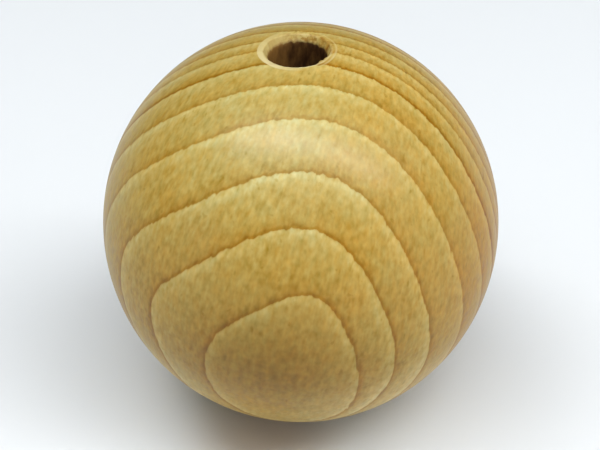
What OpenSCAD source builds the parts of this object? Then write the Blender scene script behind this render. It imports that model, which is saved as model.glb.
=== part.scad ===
// Turned wooden bead: one solid of beech with a hole drilled right through it.
// Millimetres, +Z up along the hole. The origin is on the hole's axis at the
// bottom of the bead, where its lower rim stands on a flat surface.

/* [Body] */
// Largest diameter of the bead, across the hole's axis
bead_d = 50; // [30:0.5:80]
// Height of the straight band round the widest section, between the two domes
band_h = 0.9; // [0.2:0.1:3]

/* [Hole] */
// Diameter of the hole drilled through the bead
hole_d = 7; // [4:0.5:10]
// Width of the countersink at each mouth, measured along the radius
countersink_w = 0.8; // [0.3:0.1:1.2]
// Angle of the countersink's wall from the hole's axis
countersink_angle = 45; // [30:1:60]
// Width of the narrow sanded land round each mouth
land_w = 0.45; // [0.2:0.05:0.8]

/* [Hidden] */
$fn = 160;

bead_r = bead_d / 2;
hole_r = hole_d / 2;
mouth_r = hole_r + countersink_w;
land_r = mouth_r + land_w;
countersink_depth = countersink_w / tan(countersink_angle);

// Height of each dome, from the band to the land at its top
dome_h = sqrt(pow(bead_r, 2) - pow(land_r, 2));

// Height of the lands above and below the middle of the bead
land_z = band_h / 2 + dome_h;

// Height of the whole bead, from land to land
bead_h = 2 * land_z;

// Half section of one dome: a quarter disc cut flat at the land
module dome_section() {
    translate([0, band_h / 2])
        intersection() {
            circle(r = bead_r);
            square([bead_r, dome_h]);
        }
}

// Turned form before drilling, centred on its widest section: a ball whose two
// halves stand a little apart along the grain
module turned_form() {
    rotate_extrude()
        union() {
            dome_section();
            translate([0, -band_h / 2]) square([bead_r, band_h]);
            mirror([0, 1]) dome_section();
        }
}

// Cutter for the hole: a drill with a countersink at each end
module drill() {
    cylinder(r = hole_r, h = bead_h + 4, center = true);
    for (end = [0, 1]) mirror([0, 0, end])
        translate([0, 0, land_z - countersink_depth])
            cylinder(r1 = hole_r, r2 = hole_r + 2 * countersink_w,
                     h = 2 * countersink_depth);
}

module bead() {
    color("#c8a668")
        translate([0, 0, land_z])
            difference() {
                turned_form();
                drill();
            }
}

bead();
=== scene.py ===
import math

import bpy
import numpy as np
from mathutils import Matrix, Vector


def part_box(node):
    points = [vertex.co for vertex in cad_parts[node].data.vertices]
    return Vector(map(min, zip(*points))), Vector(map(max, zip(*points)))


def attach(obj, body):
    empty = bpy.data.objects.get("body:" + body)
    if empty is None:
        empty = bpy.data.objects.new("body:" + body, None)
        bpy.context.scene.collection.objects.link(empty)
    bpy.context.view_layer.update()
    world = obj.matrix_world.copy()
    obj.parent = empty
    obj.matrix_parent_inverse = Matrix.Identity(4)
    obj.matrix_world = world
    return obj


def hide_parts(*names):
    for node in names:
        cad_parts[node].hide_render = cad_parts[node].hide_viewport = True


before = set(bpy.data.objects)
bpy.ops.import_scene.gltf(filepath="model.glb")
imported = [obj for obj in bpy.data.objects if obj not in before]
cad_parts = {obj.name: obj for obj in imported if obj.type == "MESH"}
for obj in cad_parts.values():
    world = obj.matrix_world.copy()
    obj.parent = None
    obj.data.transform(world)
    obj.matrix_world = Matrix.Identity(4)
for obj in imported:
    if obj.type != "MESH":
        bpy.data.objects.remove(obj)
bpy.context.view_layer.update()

# ---------------------------------------------------------------- sizes, mm
LOW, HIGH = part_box("bead")
MM = 0.001
R = (HIGH.x - LOW.x) / 2 / MM           # half the width, 25
ZL = (HIGH.z - LOW.z) / 2 / MM          # from the middle to the lands, 24.99
ZC = (HIGH.z + LOW.z) / 2 / MM          # height of the middle
HOLE_R = 3.5
MOUTH_R = 4.3
LAND_R = 4.75
B = ZL / math.sqrt(1 - (LAND_R / R) ** 2)   # half length of the rounded form


def unit(v):
    v = np.asarray(v, float)
    return v / np.linalg.norm(v)


def smooth(lo, hi, x):
    t = np.clip((x - lo) / (hi - lo), 0, 1)
    return t * t * (3 - 2 * t)


# ------------------------------------------------------------------ camera
DIST = 10 * R                            # from the bead's middle
ELEV = math.radians(34.34)
ROLL = math.radians(-1.165)
LENS = 118.03                            # on a 36 mm wide sensor
FOCAL = LENS / 36 * 600                  # in pixels of a 600 x 450 image

fwd = np.array([0, math.cos(ELEV), -math.sin(ELEV)])
right = np.array([1.0, 0, 0])
up = np.cross(right, fwd)
cam_x = math.cos(ROLL) * right + math.sin(ROLL) * up
cam_y = -math.sin(ROLL) * right + math.cos(ROLL) * up
# The bead's middle lies 0.8 px right of the image's centre and 2.7 px above it.
look = unit(fwd - 0.8 / FOCAL * cam_x - 2.7 / FOCAL * cam_y)
cam_x = unit(cam_x - look * (cam_x @ look))
cam_y = unit(np.cross(-look, cam_x))
place = np.array([0, 0, ZC]) - DIST * fwd
cam_data = bpy.data.cameras.new("camera")
cam = bpy.data.objects.new("camera", cam_data)
bpy.context.scene.collection.objects.link(cam)
cam_data.sensor_width = 36
cam_data.lens = LENS
cam_data.clip_start = 0.005
cam_data.clip_end = 50
cam.matrix_world = Matrix((
    (cam_x[0], cam_y[0], -look[0], place[0] * MM),
    (cam_x[1], cam_y[1], -look[1], place[1] * MM),
    (cam_x[2], cam_y[2], -look[2], place[2] * MM),
    (0, 0, 0, 1),
))
bpy.context.scene.camera = cam

# ------------------------------------------------- growth rings, as a field
# The layers of the wood are nearly flat sheets that bulge towards the bark.
# N points to the bark, FIBRE along the grain, which leans a little off the
# bore, and TANG runs along the sheets.
AZ, EL = -0.2347, -0.0444
N = np.array([math.sin(AZ) * math.cos(EL), -math.cos(AZ) * math.cos(EL), math.sin(EL)])
ZP = unit(np.array([0, 0, 1.0]) - N * N[2])
XP = np.cross(ZP, N)
LEAN = math.radians(10)
FIBRE = math.cos(LEAN) * ZP + math.sin(LEAN) * XP
TANG = np.cross(FIBRE, N)

# How the sheets bulge: coefficients of a^i b^j c^k, where a and b run across
# a sheet and c towards the bark, in units of the bead's radius
BULGE = {
    (2, 0, 0): 0.483, (1, 1, 0): 0.014, (0, 2, 0): 0.493,
    (3, 0, 0): -0.009, (2, 1, 0): -0.025, (1, 2, 0): 0.056, (0, 3, 0): -0.063,
    (4, 0, 0): 0.011, (3, 1, 0): -0.083, (2, 2, 0): 0.002, (1, 3, 0): 0.100,
    (0, 4, 0): 0.071, (1, 0, 1): 0.015, (0, 1, 1): -0.012,
}
# Outline of the youngest year, an oval island low on the front: its reach
# from CROWN as a sum of a few waves of the turn about it
CROWN = unit([-0.0965, -0.9912, -0.0904])
CROWN_X = unit(np.cross(CROWN, [0, 0, -1.0]))
CROWN_Y = np.cross(CROWN_X, CROWN) * -1
OVAL = [0.3965, -0.0002, -0.1143, -0.0403, 0.0253, -0.0177, -0.0038, -0.0058,
        -0.0035, 0.0043, 0.0028, 0.0033, 0.0006]
# Where one year's dark late wood ends and the next year's pale wood starts,
# from the bark side to the side of the pith
YEARS = [0.997, 0.977, 0.932, 0.834, 0.714, 0.590, 0.474, 0.375]
for gap in (0.13, 0.16, 0.12, 0.15, 0.18, 0.14, 0.12, 0.16, 0.19, 0.14, 0.15, 0.17, 0.15, 0.16):
    YEARS.append(YEARS[-1] - gap)
# How dark each of those years' late wood is
DARK = [0.66, 0.70, 0.62, 0.46, 0.46, 1.00, 0.36, 0.45,
        0.45, 0.60, 0.80, 0.55, 0.75, 0.95, 0.60, 0.50, 0.85, 0.70, 0.60, 0.80, 0.6, 0.7]


# The middles of a patch of painted shade low on the front and of a patch of painted highlight high on the front
PAINTED_SHADE = unit([-0.20, -0.92, -0.34])
PAINTED_HIGHLIGHT = unit([-0.11, -0.53, 0.84])


def layer(p):
    """Depth in the wood at points given in units of the bead's radius."""
    a, b, c = p @ XP, p @ ZP, p @ N
    f = c.copy()
    for (i, j, k), x in BULGE.items():
        f += x * a ** i * b ** j * c ** k
    return f


def innermost(turn):
    """Reach, in radians from CROWN, of the last year's outline."""
    r = OVAL[0] + 0 * turn
    for k in range(1, len(OVAL) // 2 + 1):
        r = r + OVAL[2 * k - 1] * np.cos(k * turn) + OVAL[2 * k] * np.sin(k * turn)
    low = (turn + math.pi / 2 + math.pi) % (2 * math.pi) - math.pi
    return r + 0.19 * np.exp(-(low / math.radians(32)) ** 2)    # it reaches furthest downwards


def from_crown(p):
    """Reach and turn of points about CROWN, both in radians."""
    q = p / np.maximum(np.linalg.norm(p, axis=1), 1e-6)[:, None]
    return np.arccos(np.clip(q @ CROWN, -1, 1)), np.arctan2(q @ CROWN_Y, q @ CROWN_X)


def second_outline():
    """Reach of the year before, which surrounds the last one, at 360 turns."""
    turn = np.radians(np.arange(360) - 180.0)
    first = innermost(turn)
    out = np.zeros_like(turn)
    for i, (t, r0) in enumerate(zip(turn, first)):
        reach = np.linspace(r0 + 0.02, 1.4, 300)
        rim = math.cos(t) * CROWN_X + math.sin(t) * CROWN_Y
        f = layer(np.cos(reach)[:, None] * CROWN + np.sin(reach)[:, None] * rim) - YEARS[1]
        j = max(int(np.argmax(f < 0)), 1)
        out[i] = reach[j - 1] + (reach[j] - reach[j - 1]) * f[j - 1] / (f[j - 1] - f[j])
    return turn, out


SECOND = second_outline()
TOP = 1.005                               # a little more than any depth on the surface


def year(p):
    """Growth-ring count: whole at each year's end, rising towards the bark."""
    # the sheets meet the surface at a slant that lessens towards the crown, so
    # the root of the depth spreads each year evenly over the surface
    f = -np.sqrt(np.maximum(TOP - layer(p), 0))
    ends = -np.sqrt(TOP - np.array(YEARS[:0:-1]))
    count = np.arange(len(ends)) - float(len(ends))
    outer = np.interp(f, ends, count)
    # inside the second outline the sheets lie almost flat on the surface, so
    # the count follows the outlines themselves
    reach, turn = from_crown(p)
    r1 = innermost(turn)
    r2 = np.interp(turn, *SECOND, period=2 * math.pi)
    between = -(reach - r1) / np.maximum(r2 - r1, 0.02)
    within = 0.80 * (1 - (reach / np.maximum(r1, 0.02)) ** 1.3)
    inner = np.where(reach > r1, between, within)
    on = (reach < r2) & (np.linalg.norm(p, axis=1) > 0.9)
    return np.where(on, inner, np.minimum(outer, -1.0))


def ring_mm(p):
    """How wide, on the bead's surface, one year is here, in mm."""
    eps = 0.01
    far = np.linalg.norm(p, axis=1)[:, None]

    def beside(step):
        q = p + step
        return year(q * far / np.linalg.norm(q, axis=1)[:, None])

    g = np.stack([beside(eps * ax) - beside(-eps * ax) for ax in np.eye(3)], 1) / (2 * eps)
    return R / np.maximum(np.linalg.norm(g, axis=1), 0.8)


# ----------------------------------------------------------- the bead's mesh
SIDES = 320                               # a multiple of 4, for the bake's map


def wave(az, seed, waves):
    """A closed wavy line round the bore, between about -1 and 1."""
    rng = np.random.default_rng(seed)
    out = np.zeros_like(az)
    for k in waves:
        out += rng.normal() * np.cos(k * az + rng.uniform(0, 2 * math.pi))
    return out / math.sqrt(len(waves))


# Section of a mouth from the round form down to the bore's wall: radius, depth
# below the end plane, how far radius and depth wander round the mouth, and a
# mark that tells the material which zone it is in
START = 5.15
SECTION = [
    # radius depth  wander in r, in depth  mark
    (4.98, None, 0.02, 0.000, 0.25),
    (4.86, None, 0.03, 0.000, 0.60),
    (4.76, 0.012, 0.04, 0.002, 1.00),
    (4.66, 0.004, 0.05, 0.002, 1.20),
    (4.45, 0.000, 0.05, 0.000, 1.50),
    (4.22, 0.006, 0.05, 0.002, 1.80),
    (4.10, 0.030, 0.06, 0.010, 2.00),
    (4.03, 0.090, 0.06, 0.020, 2.20),
    (3.97, 0.190, 0.06, 0.030, 2.35),
    (3.84, 0.420, 0.05, 0.030, 2.55),
    (3.72, 0.640, 0.04, 0.040, 2.80),
    (3.62, 0.810, 0.03, 0.060, 3.00),
    (3.55, 0.960, 0.02, 0.070, 3.30),
    (3.51, 1.180, 0.01, 0.060, 3.60),
    (3.50, 1.500, 0.00, 0.030, 4.00),
]
FINE = 3                                  # mesh rows to a step of the section


def mouth(az, top):
    """One mouth's rows of (radius, height above the middle, mark)."""
    s = 1 if top else 2
    soft = [wave(az, 10 * s + k, (2, 3, 4, 6)) for k in range(2)]
    crisp = [wave(az, 10 * s + 5 + k, (9, 14, 19, 27, 33)) for k in range(2)]
    # a lifted sliver on the near right of the top mouth
    sliver = np.zeros_like(az)
    if top:
        for turn, spread, much in ((-41, 9, 1.0), (-27, 7, 0.55), (-58, 6, 0.35)):
            sliver += much * np.exp(-((az - math.radians(turn)) / math.radians(spread)) ** 2)
    knots = []
    for radius, depth, in_r, in_z, mark in [(START, None, 0, 0, 0.0)] + SECTION:
        wall = smooth(1.9, 2.6, mark)
        r = radius + in_r * ((1 - wall) * soft[0] + wall * (0.6 * soft[1] + 0.8 * crisp[0]))
        r = r - 0.34 * sliver * wall * (1 - smooth(2.9, 3.6, mark))
        if depth is None:
            z = B * np.sqrt(1 - (r / R) ** 2)
        else:
            z = ZL - np.maximum(depth + in_z * crisp[1], 0.0)
            z = z + 0.12 * sliver * smooth(2.1, 2.5, mark) * (1 - smooth(2.6, 3.4, mark))
        knots.append((np.maximum(r, HOLE_R), np.minimum(z, B * np.sqrt(1 - (r / R) ** 2)), mark + 0 * az))
    knots = np.array(knots)
    rows = []
    for i in range(len(knots) - 1):
        p0, p1 = knots[max(i - 1, 0)], knots[i]
        p2, p3 = knots[i + 1], knots[min(i + 2, len(knots) - 1)]
        for t in np.arange(1, FINE + 1) / FINE:
            q = 0.5 * (2 * p1 + (p2 - p0) * t + (2 * p0 - 5 * p1 + 4 * p2 - p3) * t ** 2
                       + (3 * p1 - p0 - 3 * p2 + p3) * t ** 3)
            rows.append((np.maximum(q[0], HOLE_R), np.minimum(q[1], ZL), q[2]))
    return rows


def bead_mesh():
    az = np.arange(SIDES) * 2 * math.pi / SIDES
    az = (az + math.pi) % (2 * math.pi) - math.pi
    lat = math.acos(START / R)
    rings, polar = [], []             # (r, z, mark) rows, polar angle for the map
    pole = math.pi / 2 - lat          # polar angle at which the mouth starts
    top = mouth(az, True)
    low = [(r, -z, mark) for r, z, mark in mouth(az, False)]
    n_mouth = len(top)
    deep = 18

    # from the middle of the bore up to the top mouth, over the ball to the low
    # mouth, and back up the bore
    z_top, z_low = top[-1][1], low[-1][1]
    for t in np.arange(deep) / deep:
        rings.append((HOLE_R + 0 * az, z_top * (1 - (1 - t) ** 1.6), 4.0 + 0 * az))
        polar.append(0.012 + (pole * 0.40 - 0.012) * t)
    for i, row in enumerate(reversed(top)):
        rings.append(row)
        polar.append(pole * (0.40 + 0.60 * i / n_mouth))
    for a in np.linspace(lat, -lat, 181):
        rings.append((R * math.cos(a) + 0 * az, B * math.sin(a) + 0 * az, 0 * az))
        polar.append(math.pi / 2 - a)
    for i, row in enumerate(low):
        rings.append(row)
        polar.append(math.pi - pole * (0.40 + 0.60 * (n_mouth - 1 - i) / n_mouth))
    for t in np.arange(1, deep) / deep:
        rings.append((HOLE_R + 0 * az, z_low * (1 - t ** 1.6), 4.0 + 0 * az))
        polar.append(math.pi - (0.012 + (pole * 0.40 - 0.012) * (1 - t)))

    n = len(rings)
    r = np.stack([x[0] for x in rings])
    z = np.stack([np.broadcast_to(x[1], az.shape) for x in rings])
    co = np.stack([r * np.cos(az), r * np.sin(az), z], 2).reshape(-1, 3)

    # faces: ring i to ring i + 1, and the last ring closes on the first
    i = np.arange(n)[:, None]
    j = np.arange(SIDES)[None]
    a = i * SIDES + j
    b = i * SIDES + (j + 1) % SIDES
    i2 = (i + 1) % n
    c = i2 * SIDES + (j + 1) % SIDES
    d = i2 * SIDES + j
    quads = np.stack([a, d, c, b], 2).reshape(-1, 4)

    # map for the bake: the ball unfolded on a square by way of an octahedron,
    # with the bore's upper half inside its centre and the lower half at the corners
    pol = np.array(polar)
    pol_next = np.concatenate([pol[1:], [math.pi - 0.012]])
    pol_this = pol.copy()
    corner_pol = np.stack([pol_this, pol_next, pol_next, pol_this], 1)[:, None, :].repeat(SIDES, 1)
    # the closing faces lie in the middle of the bore
    corner_pol[n - 1, :, :] = np.array([math.pi - 0.012 * 2, math.pi - 0.012, math.pi - 0.012, math.pi - 0.012 * 2])
    az_a = np.arange(SIDES) * 2 * math.pi / SIDES
    az_b = (np.arange(SIDES) + 1) * 2 * math.pi / SIDES
    corner_az = np.stack([az_a, az_a, az_b, az_b], 1)[None].repeat(n, 0)
    mid = (np.arange(SIDES) + 0.5) * 2 * math.pi / SIDES
    sx, sy = np.sign(np.cos(mid))[None, :, None], np.sign(np.sin(mid))[None, :, None]
    x = np.abs(np.sin(corner_pol) * np.cos(corner_az))
    y = np.abs(np.sin(corner_pol) * np.sin(corner_az))
    h = np.cos(corner_pol)
    s = x + y + np.abs(h)
    x, y = x / s, y / s
    under = corner_pol.mean(2, keepdims=True) > math.pi / 2
    ux = np.where(under, 1 - y, x) * sx
    uy = np.where(under, 1 - x, y) * sy
    uv = np.stack([ux, uy], 3) * 0.497 + 0.5

    me = bpy.data.meshes.new("turned_bead")
    me.vertices.add(len(co))
    me.vertices.foreach_set("co", ((co + [0, 0, ZC]) * MM).astype(np.float32).ravel())
    me.loops.add(quads.size)
    me.loops.foreach_set("vertex_index", quads.astype(np.int32).ravel())
    me.polygons.add(len(quads))
    me.polygons.foreach_set("loop_start", np.arange(0, quads.size, 4, dtype=np.int32))
    me.update(calc_edges=True)
    me.polygons.foreach_set("use_smooth", np.ones(len(quads), bool))
    layer_uv = me.uv_layers.new(name="OFBake")
    layer_uv.uv.foreach_set("vector", uv.reshape(-1, 2).astype(np.float32).ravel())

    # what the wood's nodes read at each point
    p = co / np.array([R, R, B])
    onball = p.copy()
    count = year(onball)
    wide = ring_mm(onball)
    ends = np.arange(len(YEARS)) * -1.0
    dark = np.interp(count, ends[::-1], np.array(DARK)[::-1])
    mark = np.stack([np.broadcast_to(x[2], az.shape) for x in rings]).ravel()
    for name, values in (("year", count), ("year_mm", wide), ("dark", dark), ("mouth", mark)):
        att = me.attributes.new(name, "FLOAT", "POINT")
        att.data.foreach_set("value", values.astype(np.float32))
    me.validate()
    me.update()
    return me


# ------------------------------------------------------------ node shorthand
class Nodes:
    def __init__(self, tree):
        self.t = tree

    def add(self, kind, **props):
        n = self.t.nodes.new(kind)
        for k, v in props.items():
            setattr(n, k, v)
        return n

    def put(self, socket, value):
        if hasattr(value, "is_output"):
            self.t.links.new(value, socket)
        else:
            socket.default_value = value

    def math(self, op, a, b=0.0, c=0.0, clamp=False):
        n = self.add("ShaderNodeMath", operation=op, use_clamp=clamp)
        for s, v in zip(n.inputs, (a, b, c)):
            self.put(s, v)
        return n.outputs[0]

    def vec(self, op, a, b=(0, 0, 0), scale=None):
        n = self.add("ShaderNodeVectorMath", operation=op)
        self.put(n.inputs[0], a)
        self.put(n.inputs[1], b)
        if scale is not None:
            self.put(n.inputs["Scale"], scale)
        return n.outputs["Value" if op in ("DOT_PRODUCT", "LENGTH") else "Vector"]

    def attr(self, name):
        return self.add("ShaderNodeAttribute", attribute_name=name).outputs["Fac"]

    def noise(self, vector, scale=1.0, detail=2.0, rough=0.5, out="Fac"):
        n = self.add("ShaderNodeTexNoise")
        self.put(n.inputs["Vector"], vector)
        self.put(n.inputs["Scale"], scale)
        self.put(n.inputs["Detail"], detail)
        self.put(n.inputs["Roughness"], rough)
        return n.outputs[0 if out == "Fac" else 1]

    def span(self, value, lo, hi, to_lo=0.0, to_hi=1.0, kind="SMOOTHSTEP"):
        n = self.add("ShaderNodeMapRange", interpolation_type=kind)
        for s, v in zip(n.inputs, (value, lo, hi, to_lo, to_hi)):
            self.put(s, v)
        return n.outputs[0]

    def curve(self, value, points):
        n = self.add("ShaderNodeFloatCurve")
        c = n.mapping.curves[0]
        while len(c.points) < len(points):
            c.points.new(0.5, 0.5)
        for pt, (x, y) in zip(c.points, points):
            pt.location = (x, y)
        n.mapping.update()
        self.put(n.inputs["Value"], value)
        return n.outputs[0]

    def mix(self, fac, a, b, blend="MIX"):
        n = self.add("ShaderNodeMix", data_type="RGBA", blend_type=blend)
        self.put(n.inputs[0], fac)
        self.put(n.inputs[6], a)
        self.put(n.inputs[7], b)
        return n.outputs[2]

    def xyz(self, x, y, z):
        n = self.add("ShaderNodeCombineXYZ")
        for s, v in zip(n.inputs, (x, y, z)):
            self.put(s, v)
        return n.outputs[0]


def lin(r, g, b):
    """sRGB numbers from 0 to 255 as a linear colour."""
    f = lambda c: c / 12.92 if c <= 0.04045 else ((c + 0.055) / 1.055) ** 2.4
    return (f(r / 255), f(g / 255), f(b / 255), 1)


# --------------------------------------------------------- the beech's nodes
def beech():
    m = bpy.data.materials.new("beech")
    m.use_nodes = True
    t = m.node_tree
    t.nodes.clear()
    n = Nodes(t)
    out = n.add("ShaderNodeOutputMaterial")
    bsdf = n.add("ShaderNodeBsdfPrincipled")
    t.links.new(bsdf.outputs[0], out.inputs[0])

    obj = n.add("ShaderNodeTexCoord").outputs["Object"]
    mm = n.vec("SUBTRACT", n.vec("SCALE", obj, scale=1000.0), (0, 0, ZC))
    along = n.vec("DOT_PRODUCT", mm, tuple(FIBRE))      # along the grain
    deep = n.vec("DOT_PRODUCT", mm, tuple(N))           # towards the bark
    side = n.vec("DOT_PRODUCT", mm, tuple(TANG))        # along the sheets
    # rays close in on the pith, so they fan out a little towards the bark
    side = n.math("MULTIPLY", side, n.math("MULTIPLY_ADD", deep, -0.012, 1.0))

    def grain(kx, ky, kz, **kw):
        return n.noise(n.xyz(n.math("MULTIPLY", side, kx), n.math("MULTIPLY", deep, ky),
                             n.math("MULTIPLY", along, kz)), **kw)

    # growth rings, their edges broken up along the grain
    step = grain(0.85, 0.85, 0.06, detail=1.5, rough=0.6)
    wide = n.attr("year_mm")
    teeth = n.math("SUBTRACT", grain(2.3, 1.1, 0.20, detail=1.0, rough=0.6), 0.5)
    count = n.math("ADD", n.attr("year"), n.math("MULTIPLY", n.math("SUBTRACT", step, 0.5), 0.105))
    count = n.math("ADD", count, n.math("DIVIDE", n.math("MULTIPLY", teeth, 0.55), wide))
    phase = n.math("FRACT", count)
    dark = n.attr("dark")
    before = n.math("MULTIPLY", n.math("SUBTRACT", 1.0, phase), wide)   # mm to the year's end
    after = n.math("MULTIPLY", phase, wide)                             # mm from its start
    late = n.curve(phase, [(0, 0.0), (0.15, 0.14), (0.35, 0.30), (0.6, 0.52), (0.8, 0.76), (1, 1.0)])
    late = n.math("MULTIPLY", late, n.math("MULTIPLY_ADD", dark, 0.5, 0.5))
    # both sides of a year's end, as fractions of 2 mm: a dark line, then a pale edge
    near = n.math("MULTIPLY", before, 0.5, clamp=True)
    past = n.math("MULTIPLY", after, 0.5, clamp=True)
    line = n.math("ADD",
                  n.curve(near, [(0, 0.85), (0.04, 1.15), (0.10, 1.12), (0.17, 0.76), (0.30, 0.34), (0.55, 0.09), (1, 0.0)]),
                  n.curve(past, [(0, 0.80), (0.03, 0.30), (0.06, 0.03), (0.10, 0.0), (1, 0.0)]))
    line = n.math("MULTIPLY", line, dark)
    edge = n.curve(past, [(0, 0.0), (0.05, 0.45), (0.13, 1.0), (0.22, 1.0), (0.36, 0.68), (0.55, 0.36), (0.8, 0.12), (1, 0.0)])

    # the wood's own unevenness
    cloud = n.math("SUBTRACT", grain(0.10, 0.08, 0.035, detail=3.0, rough=0.55), 0.5)
    fleck = n.math("SUBTRACT", grain(1.75, 0.80, 0.95, detail=1.0, rough=0.5), 0.5)
    fibre = n.math("SUBTRACT", grain(2.2, 1.6, 0.17, detail=2.0, rough=0.6), 0.5)
    grit = n.math("SUBTRACT", grain(3.0, 2.2, 1.5, detail=1.0, rough=0.5), 0.5)
    pore = n.span(grain(1.8, 1.2, 1.1, detail=0.0), 0.77, 0.84)
    streak = n.math("SUBTRACT", grain(2.5, 0.60, 0.50, detail=1.5, rough=0.55), 0.5)
    streak = n.math("MULTIPLY", streak, n.span(deep, 4.0, 22.0))        # seen on the sheets' own face
    dash = n.span(grain(2.3, 0.35, 0.60, detail=0.5, rough=0.5), 0.66, 0.80)

    # every step deepens or lightens the pale early wood's colour
    early = (0.365, 0.252, 0.057, 1)
    col = n.mix(n.math("MULTIPLY", late, 0.95, clamp=True), early, (0.306, 0.176, 0.021, 1))
    col = n.mix(edge, col, (1.13, 1.21, 1.52, 1), "MULTIPLY")
    col = n.mix(line, col, (0.72, 0.54, 0.11, 1), "MULTIPLY")
    shade = n.math("MULTIPLY", fleck, n.math("MULTIPLY_ADD", late, 0.28, 0.47))
    shade = n.math("ADD", shade, n.math("MULTIPLY", fibre, n.math("MULTIPLY_ADD", late, 0.32, 0.07)))
    shade = n.math("ADD", shade, n.math("MULTIPLY", grit, 0.22))
    shade = n.math("ADD", shade, n.math("MULTIPLY", streak, 0.42))
    shade = n.math("ADD", shade, n.math("MULTIPLY", cloud, 0.20))
    shade = n.math("SUBTRACT", shade, n.math("MULTIPLY", dash, 0.12))
    shade = n.math("SUBTRACT", shade, n.math("MULTIPLY", pore, 0.14))
    tone = n.span(shade, -0.4, 0.4, 0.0, 1.0, "LINEAR")
    tint = n.mix(tone, (0.62, 0.53, 0.05, 1), (1.38, 1.47, 1.95, 1))
    col = n.mix(1.0, col, tint, "MULTIPLY")
    # and it turns from honey to straw here and there
    hue = n.math("ADD", n.math("MULTIPLY", grain(2.1, 1.0, 0.65, detail=1.0, rough=0.6), 0.60),
                 n.math("MULTIPLY", grain(0.22, 0.25, 0.06, detail=1.0, rough=0.5), 0.40))
    hue = n.span(hue, 0.30, 0.70, 0.0, 1.0, "LINEAR")
    col = n.mix(1.0, col, n.mix(hue, (1.055, 0.955, 0.76, 1), (0.945, 1.045, 1.24, 1)), "MULTIPLY")

    place = n.add("ShaderNodeSeparateXYZ")
    n.put(place.inputs[0], mm)
    # redder towards one side, and painted shade low on the front: darker and more orange there
    col = n.mix(1.0, col, n.mix(n.span(side, -22, 22, 0.0, 1.0, "LINEAR"), (1.0, 1.05, 1.18, 1), (1.0, 0.97, 0.98, 1)), "MULTIPLY")
    col = n.mix(n.span(side, 13.0, 22.0), col, (0.93, 0.87, 0.78, 1), "MULTIPLY")
    away = n.vec("LENGTH", n.vec("SUBTRACT", mm, tuple(R * PAINTED_SHADE)))
    col = n.mix(n.span(away, 1.0, 18.0, 1.0, 0.0), col, (0.68, 0.575, 0.27, 1), "MULTIPLY")
    col = n.mix(1.0, col, n.mix(n.span(place.outputs[2], 20.0, 3.0), (1.0, 1.0, 1.02, 1), (0.96, 0.91, 0.79, 1)), "MULTIPLY")
    # painted light: much paler and bluer towards the bottom, standing in for light thrown up from the table
    painted_bounce = n.span(place.outputs[2], -5.0, -16.0)
    col = n.mix(painted_bounce, col, (1.45, 1.65, 2.90, 1), "MULTIPLY")
    # painted highlight: paler and whiter round the upper front, where the overhead strip's glint falls
    away = n.vec("LENGTH", n.vec("SUBTRACT", mm, tuple(R * PAINTED_HIGHLIGHT)))
    col = n.mix(n.span(away, 2.0, 17.0, 1.0, 0.0), col, (0.99, 1.10, 1.28, 1), "MULTIPLY")

    # the sanded rim of each mouth: a pale lip, partly sanded end grain and partly a painted
    # highlight on its rounded edge, widest and palest on the left and front as painted light,
    # over a countersink that keeps the wood's own colour towards the back and has painted
    # light on the left, and the scorched, rough wall of the bore, darkened further by painted shade
    mouth = n.attr("mouth")
    # the mouth's left and front, where light is painted on in what follows
    left = n.span(place.outputs[0], 1.5, -4.2)
    front = n.span(place.outputs[1], 2.5, -3.5)
    lip_and_highlight = n.math("MAXIMUM", n.span(mouth, 1.50, 1.90), n.math("MULTIPLY", left, n.span(mouth, 0.45, 1.0)))
    lip_and_highlight = n.math("MULTIPLY", lip_and_highlight, n.span(mouth, 1.75, 2.35, 1.0, 0.0))
    lip_and_highlight = n.math("MULTIPLY", lip_and_highlight, n.math("MULTIPLY_ADD", n.math("MAXIMUM", left, front), 0.62, 0.20))
    right = n.math("MULTIPLY", n.span(place.outputs[0], 2.2, 3.8), n.span(mouth, 0.65, 1.00))
    lip_and_highlight = n.math("MAXIMUM", lip_and_highlight, n.math("MULTIPLY", right, n.span(mouth, 1.15, 1.50, 0.45, 0.0)))
    col = n.mix(lip_and_highlight, col, n.mix(front, (0.44, 0.355, 0.15, 1), (0.54, 0.46, 0.25, 1)))
    countersink_and_light = n.math("MULTIPLY", n.span(mouth, 1.7, 2.3), n.math("MULTIPLY_ADD", left, 0.55, 0.10))
    col = n.mix(countersink_and_light, col, (0.45, 0.34, 0.13, 1))
    scorch = grain(1.0, 1.0, 0.40, detail=3.0, rough=0.55)
    # torn fibres, darker, kept to the right and the back, where the darkening also stands for painted shade
    torn_and_shade = n.math("MULTIPLY", n.span(mouth, 1.1, 1.9), n.math("SUBTRACT", 1.0, n.math("MAXIMUM", left, front)))
    torn_and_shade = n.math("MULTIPLY", torn_and_shade, n.span(grain(1.3, 1.3, 1.3, detail=2.0, rough=0.6), 0.40, 0.66))
    col = n.mix(torn_and_shade, col, (0.62, 0.44, 0.20, 1), "MULTIPLY")
    bore = n.span(n.math("ADD", mouth, n.math("MULTIPLY", n.math("SUBTRACT", scorch, 0.5), 0.7)), 2.60, 3.30)
    # the bore's wall: very dark as scorch and as painted shade, with painted light on its left, where it faces the
    # lamps on the right
    soot_and_shade = n.mix(n.span(n.math("MULTIPLY_ADD", left, 0.55, scorch), 0.36, 1.15), (0.024, 0.0070, 0.0008, 1), (0.190, 0.090, 0.020, 1))
    col = n.mix(bore, col, soot_and_shade)
    n.put(bsdf.inputs["Base Color"], col)

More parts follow.
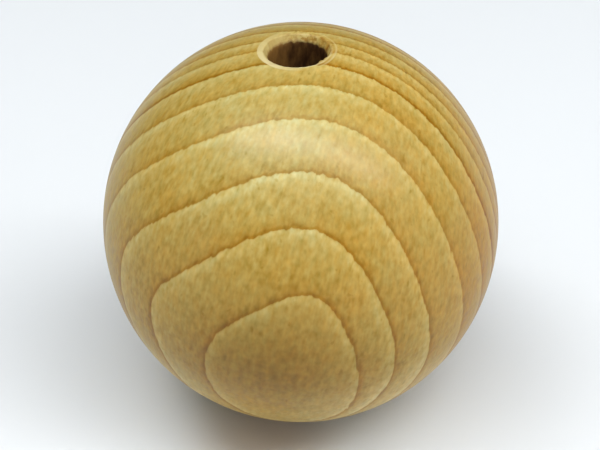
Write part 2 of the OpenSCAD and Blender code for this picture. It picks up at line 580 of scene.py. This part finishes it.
    rough = n.math("MULTIPLY_ADD", fleck, 0.25, 0.44)
    rough = n.math("ADD", rough, n.math("MULTIPLY", line, 0.05))
    rough = n.math("ADD", rough, n.math("MULTIPLY", bore, 0.35))
    n.put(bsdf.inputs["Roughness"], rough)
    bsdf.inputs["IOR"].default_value = 1.25
    bsdf.inputs["Coat Weight"].default_value = 0.24
    bsdf.inputs["Coat Roughness"].default_value = 0.26
    bsdf.inputs["Coat IOR"].default_value = 1.45

    height = n.math("ADD", n.math("MULTIPLY", fibre, 0.15), n.math("MULTIPLY", fleck, 0.5))
    height = n.math("ADD", height, n.math("MULTIPLY", grit, 0.6))
    height = n.math("SUBTRACT", height, n.math("MULTIPLY", line, 0.10))
    bump = n.add("ShaderNodeBump")
    bump.inputs["Strength"].default_value = 0.6
    bump.inputs["Distance"].default_value = 0.00008
    n.put(bump.inputs["Height"], height)
    n.put(bsdf.inputs["Normal"], bump.outputs[0])
    return m


bead = bpy.data.objects.new("turned_bead", bead_mesh())
bpy.context.scene.collection.objects.link(bead)
bead.data.materials.append(beech())
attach(bead, "root")
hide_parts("bead")

# --------------------------------------------------------- floor and lights
def floor_material():
    m = bpy.data.materials.new("table")
    m.use_nodes = True
    t = m.node_tree
    b = t.nodes["Principled BSDF"]
    # painted shadow: a darker, warmer patch on the table just left of and in front of the bead, for the shade there
    # and the wood's warm bounce
    n = Nodes(t)
    obj = n.add("ShaderNodeTexCoord").outputs["Object"]
    away = n.vec("LENGTH", n.vec("SUBTRACT", obj, (-0.0053, -0.0122, 0)))
    n.put(b.inputs["Base Color"], n.mix(n.span(away, 0.001, 0.0125), (0.560, 0.500, 0.445, 1), (0.638, 0.651, 0.664, 1)))
    b.inputs["Roughness"].default_value = 0.55
    b.inputs["Specular IOR Level"].default_value = 0.18
    return m


me = bpy.data.meshes.new("table")
half = 2.5
me.from_pydata([(-half, -half, 0), (half, -half, 0), (half, half, 0), (-half, half, 0)], [], [(0, 1, 2, 3)])
table = bpy.data.objects.new("table", me)
bpy.context.scene.collection.objects.link(table)
me.materials.append(floor_material())

# and the sweep the table rises into, seen only when the camera is low
profile = [(0.80, 0.0005), (0.95, 0.004), (1.10, 0.020), (1.25, 0.060), (1.40, 0.14), (1.52, 0.27), (1.60, 0.45), (1.64, 0.70), (1.65, 1.8)]
around = 96
me = bpy.data.meshes.new("sweep")
me.from_pydata([(r * math.cos(2 * math.pi * i / around), r * math.sin(2 * math.pi * i / around), z)
                for r, z in profile for i in range(around)], [],
               [(k * around + i, k * around + (i + 1) % around, (k + 1) * around + (i + 1) % around, (k + 1) * around + i)
                for k in range(len(profile) - 1) for i in range(around)])
for face in me.polygons:
    face.use_smooth = True
sweep = bpy.data.objects.new("sweep", me)
bpy.context.scene.collection.objects.link(sweep)
m = floor_material()
m.name = "sweep"
n = Nodes(m.node_tree)
b = m.node_tree.nodes["Principled BSDF"]
b.inputs["Emission Color"].default_value = (0.94, 0.98, 1.0, 1)
away = n.vec("LENGTH", n.add("ShaderNodeTexCoord").outputs["Object"])
n.put(b.inputs["Emission Strength"], n.span(away, 0.80, 1.06, 0.10, 0.66))
me.materials.append(m)
sweep.visible_diffuse = sweep.visible_glossy = sweep.visible_shadow = False

world = bpy.data.worlds.new("studio")
bpy.context.scene.world = world
world.use_nodes = True
bg = world.node_tree.nodes["Background"]
bg.inputs["Color"].default_value = (1, 1, 1, 1)
bg.inputs["Strength"].default_value = 0.01

MIDDLE = Vector((0, 0, 0.025))


def lamp(name, size, power):
    d = bpy.data.lights.new(name, "AREA")
    d.energy = power
    d.color = (0.973, 1.0, 1.015)
    if isinstance(size, tuple):
        d.shape = "RECTANGLE"
        d.size, d.size_y = size
    else:
        d.shape = "DISK"
        d.size = size
    o = bpy.data.objects.new(name, d)
    bpy.context.scene.collection.objects.link(o)
    return o


def softbox(name, around, above, size, power, gleam=False):
    """A round light 0.8 m from the bead, at degrees round it and above it."""
    o = lamp(name, size, power)
    o.visible_glossy = gleam              # most of them only fill, without a glint
    t, h = math.radians(around), math.radians(above)
    way = Vector((math.sin(t) * math.cos(h), -math.cos(t) * math.cos(h), math.sin(h)))
    o.location = MIDDLE + 0.8 * way
    o.rotation_mode = "QUATERNION"
    o.rotation_quaternion = (-way).to_track_quat("-Z", "Y")


# a long strip right overhead, and soft lights round the bead
strip = lamp("strip", (1.5, 0.10), 6.6)
strip.location = (0.25, -0.205, 0.725)
strip.rotation_euler = (0, 0, math.radians(-14))
gleam = lamp("gleam", (1.3, 0.10), 4.6)
gleam.location = (0.13, -0.205, 0.73)
gleam.rotation_euler = strip.rotation_euler
gleam.visible_diffuse = False                     # only a glint, where the strip's is brightest
glint = lamp("glint", (0.16, 0.12), 0.70)
glint.location = (-0.108, -0.124, 0.720)
glint.visible_diffuse = False
softbox("front", 0, 60, 0.45, 1.18)
softbox("right", 60, 60, 0.45, 1.92)
softbox("left", -60, 60, 0.45, 1.15)
softbox("far_left", -120, 60, 0.45, 1.15)
softbox("low_right", 90, 32, 0.42, 1.08)
softbox("low_front", 0, 32, 0.42, 0.90)
softbox("side_right", 60, 9, 0.40, 1.50)
softbox("side_left", -60, 9, 0.40, 1.30)

view = bpy.context.scene.view_settings
view.view_transform = "Standard"
view.look = "None"
